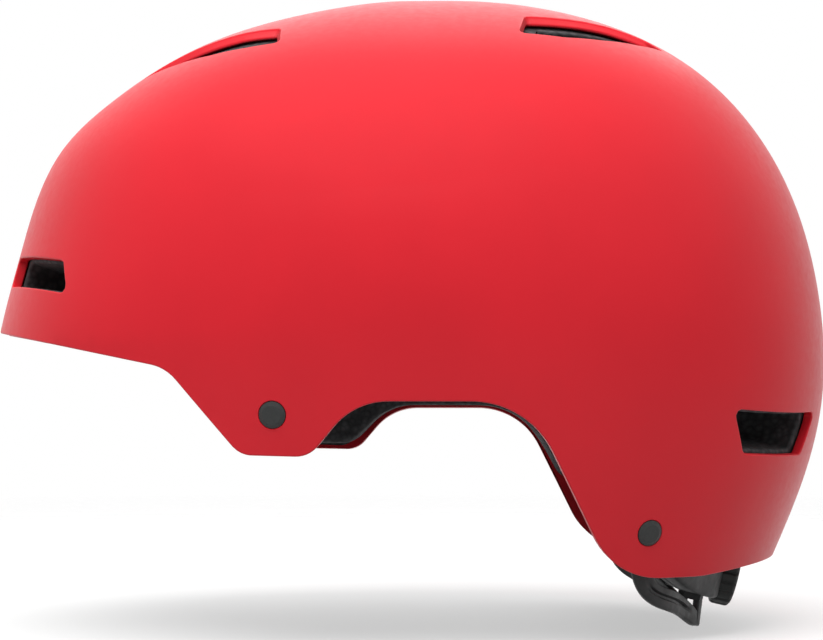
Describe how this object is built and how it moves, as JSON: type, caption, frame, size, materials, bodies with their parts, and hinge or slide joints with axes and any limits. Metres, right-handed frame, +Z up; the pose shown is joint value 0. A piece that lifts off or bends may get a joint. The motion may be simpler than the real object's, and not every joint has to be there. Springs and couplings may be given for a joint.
{
  "type": "water helmet",
  "caption": "Hard-shell water helmet with ear cuts and vents, a foam liner with comfort pads, and a rear dial cradle that tilts and tightens on the nape.",
  "frame": {"origin": "on the middle plane, half way along the shell, level with the top of the ear cuts; the head is below and inside", "axes": "+X to the wearer's front, +Y to the wearer's left, +Z up"},
  "size_m": [0.2763, 0.2158, 0.2095],
  "materials": {
    "red_abs": "satin red ABS",
    "black_foam": "black moulded bead foam",
    "pad_fabric": "black brushed knit over foam",
    "dark_nylon": "fine-grained dark nylon",
    "grey_plastic": "matt dark grey plastic",
    "steel": "plain zinc-plated steel"
  },
  "bodies": {
    "helmet": {"outer_shell": "red_abs", "foam_liner": "black_foam", "brow_pad": "pad_fabric", "crown_pad": "pad_fabric", "left_side_pad": "pad_fabric", "right_side_pad": "pad_fabric", "rear_pad": "pad_fabric", "left_front_rivet": "grey_plastic", "left_rear_rivet": "grey_plastic", "right_front_rivet": "grey_plastic", "right_rear_rivet": "grey_plastic", "left_front_washer": "steel", "right_front_washer": "steel", "left_cradle_pivot": "dark_nylon", "right_cradle_pivot": "dark_nylon", "left_pivot_cap": "grey_plastic", "right_pivot_cap": "grey_plastic"},
    "cradle": {"cradle_frame": "dark_nylon", "dial_cover": "dark_nylon", "left_housing_screw": "steel", "right_housing_screw": "steel", "click_spring": "steel", "left_nape_pad": "pad_fabric", "right_nape_pad": "pad_fabric"},
    "dial": {"dial_knob": "grey_plastic", "dial_pinion": "dark_nylon", "dial_screw": "steel"},
    "left_band": {"left_headband": "dark_nylon"},
    "right_band": {"right_headband": "dark_nylon"}
  },
  "joints": [
    {"name": "cradle_tilt", "type": "hinge", "parent": "helmet", "child": "cradle", "pos_m": [-0.0724, 0, -0.0379], "axis": [0, 1, 0], "range_deg": [-12, 10]},
    {"name": "dial_turn", "type": "hinge", "parent": "cradle", "child": "dial", "pos_m": [-0.099, 0, -0.0545], "axis": [0.9744, 0, 0.225], "range_deg": [0, 150]},
    {"name": "left_headband_wrap", "type": "hinge", "parent": "cradle", "child": "left_band", "pos_m": [-0.01618, 0, -0.03538], "axis": [-0.225, 0, 0.9744], "range_deg": [0, 7.06]},
    {"name": "right_headband_wrap", "type": "hinge", "parent": "cradle", "child": "right_band", "pos_m": [-0.01618, 0, -0.03538], "axis": [0.225, 0, -0.9744], "range_deg": [0, 7.06]}
  ],
  "couplings": [
    {"joint": "left_headband_wrap", "follows": "dial_turn", "ratio": 0.047059},
    {"joint": "right_headband_wrap", "follows": "dial_turn", "ratio": 0.047059}
  ]
}
